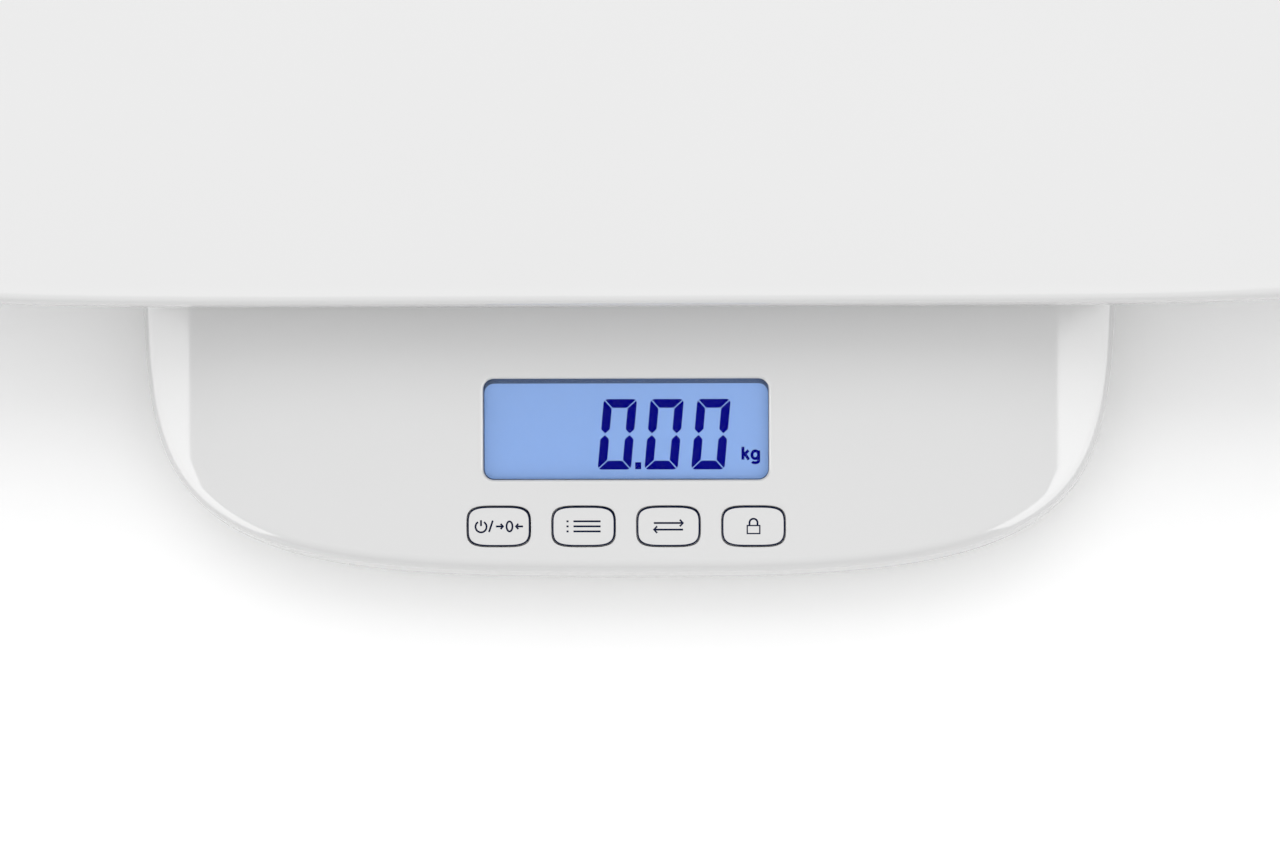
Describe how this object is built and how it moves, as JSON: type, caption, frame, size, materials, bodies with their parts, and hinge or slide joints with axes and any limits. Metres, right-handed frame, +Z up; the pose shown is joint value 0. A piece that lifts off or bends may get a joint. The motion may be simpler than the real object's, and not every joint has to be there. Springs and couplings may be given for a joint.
{
  "type": "digital baby weighing scale",
  "caption": "Digital baby scale with a wide dished pan on a load cell, a low housing whose front lobe holds a backlit display and keys, and a battery bay below.",
  "frame": {"origin": "on the ground, below the middle of the object's bounding box, which is the feet's lowest plane", "axes": "+X to the right along the pan's length, +Y away from the keys to the rear, +Z up"},
  "size_m": [0.58, 0.3626, 0.0994],
  "materials": {
    "gloss_white": "glossy injection-moulded ABS",
    "satin_white": "finely textured ABS",
    "cast_alloy": "as-cast aluminium",
    "beam_alloy": "milled aluminium",
    "steel": "zinc-plated steel",
    "rubber": "matte grey rubber",
    "silicone": "white silicone sealant",
    "clear_pane": "clear acrylic pane",
    "display_blue": "blue-backlit liquid crystal glass",
    "milky_plastic": "milky light guide",
    "circuit_board": "green solder resist",
    "black_plastic": "black moulded plastic",
    "contact_metal": "nickel-plated spring steel",
    "battery_sleeve": "printed sleeve, plain colours",
    "cable": "grey cable jacket"
  },
  "bodies": {
    "housing": {"load_cell": "beam_alloy", "lower_spacer": "steel", "cell_bolt_1": "steel", "cell_bolt_2": "steel", "gauge_seal": "silicone", "base_plate": "steel", "top_cover": "gloss_white", "lower_housing": "satin_white", "case_screw_front_left": "steel", "case_screw_front_right": "steel", "case_screw_rear_left": "steel", "case_screw_rear_right": "steel", "foot_front_left": "rubber", "foot_front_right": "rubber", "foot_rear_left": "rubber", "foot_rear_right": "rubber", "display_window": "clear_pane", "lcd_glass": "display_blue", "lcd_backlight": "milky_plastic", "contact_strip": "rubber", "lcd_holder": "black_plastic", "display_board": "circuit_board", "board_screw_front_left": "steel", "board_screw_front_right": "steel", "board_screw_rear_left": "steel", "board_screw_rear_right": "steel", "controller_chip": "black_plastic", "switch_body_power": "black_plastic", "switch_body_mode": "black_plastic", "switch_body_unit": "black_plastic", "switch_body_hold": "black_plastic", "battery_1": "battery_sleeve", "battery_2": "battery_sleeve", "battery_3": "battery_sleeve", "battery_4": "battery_sleeve", "contact_left_front": "contact_metal", "contact_left_rear": "contact_metal", "contact_right_front": "contact_metal", "contact_right_middle": "contact_metal", "contact_right_rear": "contact_metal", "load_cell_cable": "cable", "battery_lead": "black_plastic"},
    "platform": {"weighing_pan": "gloss_white", "load_platform": "cast_alloy", "pan_screw_front_left": "steel", "pan_screw_front_right": "steel", "pan_screw_rear_left": "steel", "pan_screw_rear_right": "steel", "upper_spacer": "steel", "platform_bolt_1": "steel", "platform_bolt_2": "steel"},
    "power_key": {"key_power": "gloss_white", "switch_plunger_power": "black_plastic"},
    "mode_key": {"key_mode": "gloss_white", "switch_plunger_mode": "black_plastic"},
    "unit_key": {"key_unit": "gloss_white", "switch_plunger_unit": "black_plastic"},
    "hold_key": {"key_hold": "gloss_white", "switch_plunger_hold": "black_plastic"},
    "door": {"battery_door": "satin_white"}
  },
  "joints": [
    {"name": "platform_sink", "type": "slide", "parent": "housing", "child": "platform", "axis": [0, 0, -1], "range_m": [0, 0.0008], "stiffness_N_per_m": 490000, "springref_m": -0.00002, "deforming": ["load_cell"]},
    {"name": "power_key_press", "type": "slide", "parent": "housing", "child": "power_key", "axis": [0, 0.1392, -0.9903], "range_m": [0, 0.0008], "stiffness_N_per_m": 600, "springref_m": -0.0005},
    {"name": "mode_key_press", "type": "slide", "parent": "housing", "child": "mode_key", "axis": [0, 0.1392, -0.9903], "range_m": [0, 0.0008], "stiffness_N_per_m": 600, "springref_m": -0.0005},
    {"name": "unit_key_press", "type": "slide", "parent": "housing", "child": "unit_key", "axis": [0, 0.1392, -0.9903], "range_m": [0, 0.0008], "stiffness_N_per_m": 600, "springref_m": -0.0005},
    {"name": "hold_key_press", "type": "slide", "parent": "housing", "child": "hold_key", "axis": [0, 0.1392, -0.9903], "range_m": [0, 0.0008], "stiffness_N_per_m": 600, "springref_m": -0.0005},
    {"name": "battery_door_hinge", "type": "hinge", "parent": "housing", "child": "door", "pos_m": [0, -0.06164, 0.005], "axis": [1, 0, 0], "range_deg": [0, 75]}
  ]
}
